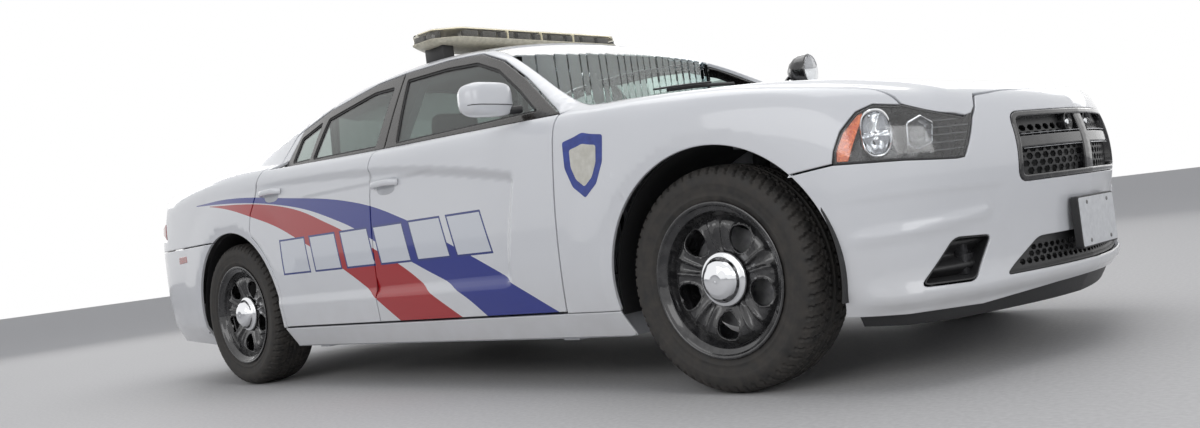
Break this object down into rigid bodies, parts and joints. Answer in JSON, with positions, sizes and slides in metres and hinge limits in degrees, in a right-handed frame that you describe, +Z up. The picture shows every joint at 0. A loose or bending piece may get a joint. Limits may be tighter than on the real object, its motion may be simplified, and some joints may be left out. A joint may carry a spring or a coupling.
{
  "type": "police patrol car",
  "caption": "Full-size four-door police patrol sedan with a fastback roof, roof light bar, opening doors, hood and trunk lid, and steered front wheels",
  "frame": {"origin": "on the ground at the middle of the car's length and width", "axes": "+X forward along the car, +Y to its left, +Z up"},
  "size_m": [5.0769, 2.244, 1.5719],
  "materials": {
    "body_paint": "gloss white paint",
    "trim_black": "satin black trim",
    "glass": "tinted safety glass",
    "lamp_lens": "clear lamp lens over black bezels",
    "tail_lens": "red lamp lens",
    "bar_lens": "clear warning-light lens",
    "tyre": "black tyre rubber",
    "wheel_paint": "gloss black wheel paint",
    "chassis": "dark chassis steel",
    "exhaust_steel": "aged stainless steel",
    "seat_cloth": "charcoal seat cloth",
    "dash_plastic": "grained dark plastic"
  },
  "bodies": {
    "root": {"rear_quarters": "body_paint", "front_bumper": "body_paint", "rear_bumper": "body_paint", "front_fenders": "body_paint", "headlamps": "lamp_lens", "tail_lamps": "tail_lens", "roof_panel": "body_paint", "windshield": "glass", "rear_window": "glass", "roof_rails": "body_paint", "side_frames": "body_paint", "floor_pan": "chassis", "rear_shelf": "body_paint", "firewall": "trim_black", "grilles": "trim_black", "light_bar_base": "trim_black", "light_bar_lens": "bar_lens", "spot_lamp": "trim_black", "front_suspension": "chassis", "engine_bay_frame": "chassis", "engine": "chassis", "rear_suspension": "chassis", "driveshaft": "chassis", "exhaust": "exhaust_steel", "dashboard": "dash_plastic", "front_seats": "seat_cloth", "rear_seat": "seat_cloth"},
    "hood": {"hood": "body_paint"},
    "trunk_lid": {"trunk_lid": "body_paint"},
    "steering_wheel": {"steering_wheel": "dash_plastic"},
    "front_door_left": {"front_door_left": "body_paint", "front_door_glass_left": "glass", "mirror_left": "body_paint"},
    "rear_door_left": {"rear_door_left": "body_paint", "rear_door_glass_left": "glass"},
    "knuckle_left": {"knuckle_left": "chassis"},
    "front_wheel_left": {"front_rim_left": "wheel_paint", "front_tyre_left": "tyre"},
    "rear_wheel_left": {"rear_rim_left": "wheel_paint", "rear_tyre_left": "tyre"},
    "front_door_right": {"front_door_right": "body_paint", "front_door_glass_right": "glass", "mirror_right": "body_paint"},
    "rear_door_right": {"rear_door_right": "body_paint", "rear_door_glass_right": "glass"},
    "knuckle_right": {"knuckle_right": "chassis"},
    "front_wheel_right": {"front_rim_right": "wheel_paint", "front_tyre_right": "tyre"},
    "rear_wheel_right": {"rear_rim_right": "wheel_paint", "rear_tyre_right": "tyre"}
  },
  "joints": [
    {"name": "front_door_left_hinge", "type": "hinge", "parent": "root", "child": "front_door_left", "pos_m": [1.006, 0.946, 0.6], "axis": [0, 0, -1], "range_deg": [0, 65]},
    {"name": "rear_door_left_hinge", "type": "hinge", "parent": "root", "child": "rear_door_left", "pos_m": [-0.142, 0.946, 0.6], "axis": [0, 0, -1], "range_deg": [0, 62]},
    {"name": "front_wheel_left_spin", "type": "hinge", "parent": "knuckle_left", "child": "front_wheel_left", "pos_m": [1.6685, 0.805, 0.36], "axis": [0, 1, 0], "continuous": true},
    {"name": "rear_wheel_left_spin", "type": "hinge", "parent": "root", "child": "rear_wheel_left", "pos_m": [-1.3835, 0.81, 0.36], "axis": [0, 1, 0], "continuous": true},
    {"name": "front_door_right_hinge", "type": "hinge", "parent": "root", "child": "front_door_right", "pos_m": [1.006, -0.946, 0.6], "axis": [0, 0, 1], "range_deg": [0, 65]},
    {"name": "rear_door_right_hinge", "type": "hinge", "parent": "root", "child": "rear_door_right", "pos_m": [-0.142, -0.946, 0.6], "axis": [0, 0, 1], "range_deg": [0, 62]},
    {"name": "front_wheel_right_spin", "type": "hinge", "parent": "knuckle_right", "child": "front_wheel_right", "pos_m": [1.6685, -0.805, 0.36], "axis": [0, 1, 0], "continuous": true},
    {"name": "rear_wheel_right_spin", "type": "hinge", "parent": "root", "child": "rear_wheel_right", "pos_m": [-1.3835, -0.81, 0.36], "axis": [0, 1, 0], "continuous": true},
    {"name": "steer_left", "type": "hinge", "parent": "root", "child": "knuckle_left", "pos_m": [1.6685, 0.725, 0.36], "axis": [0, 0, 1], "range_deg": [-35, 35]},
    {"name": "steer_right", "type": "hinge", "parent": "root", "child": "knuckle_right", "pos_m": [1.6685, -0.725, 0.36], "axis": [0, 0, 1], "range_deg": [-35, 35]},
    {"name": "steering_wheel_turn", "type": "hinge", "parent": "root", "child": "steering_wheel", "pos_m": [0.56, 0.372, 0.862], "axis": [-0.9135, 0, 0.4067], "range_deg": [-525, 525]},
    {"name": "hood_hinge", "type": "hinge", "parent": "root", "child": "hood", "pos_m": [1.225, 0, 1.06], "axis": [0, -1, 0], "range_deg": [0, 50]},
    {"name": "trunk_lid_hinge", "type": "hinge", "parent": "root", "child": "trunk_lid", "pos_m": [-1.66, 0, 1.112], "axis": [0, 1, 0], "range_deg": [0, 70]}
  ],
  "couplings": [
    {"joint": "steer_right", "follows": "steer_left", "ratio": 1},
    {"joint": "steering_wheel_turn", "follows": "steer_left", "ratio": 15}
  ]
}
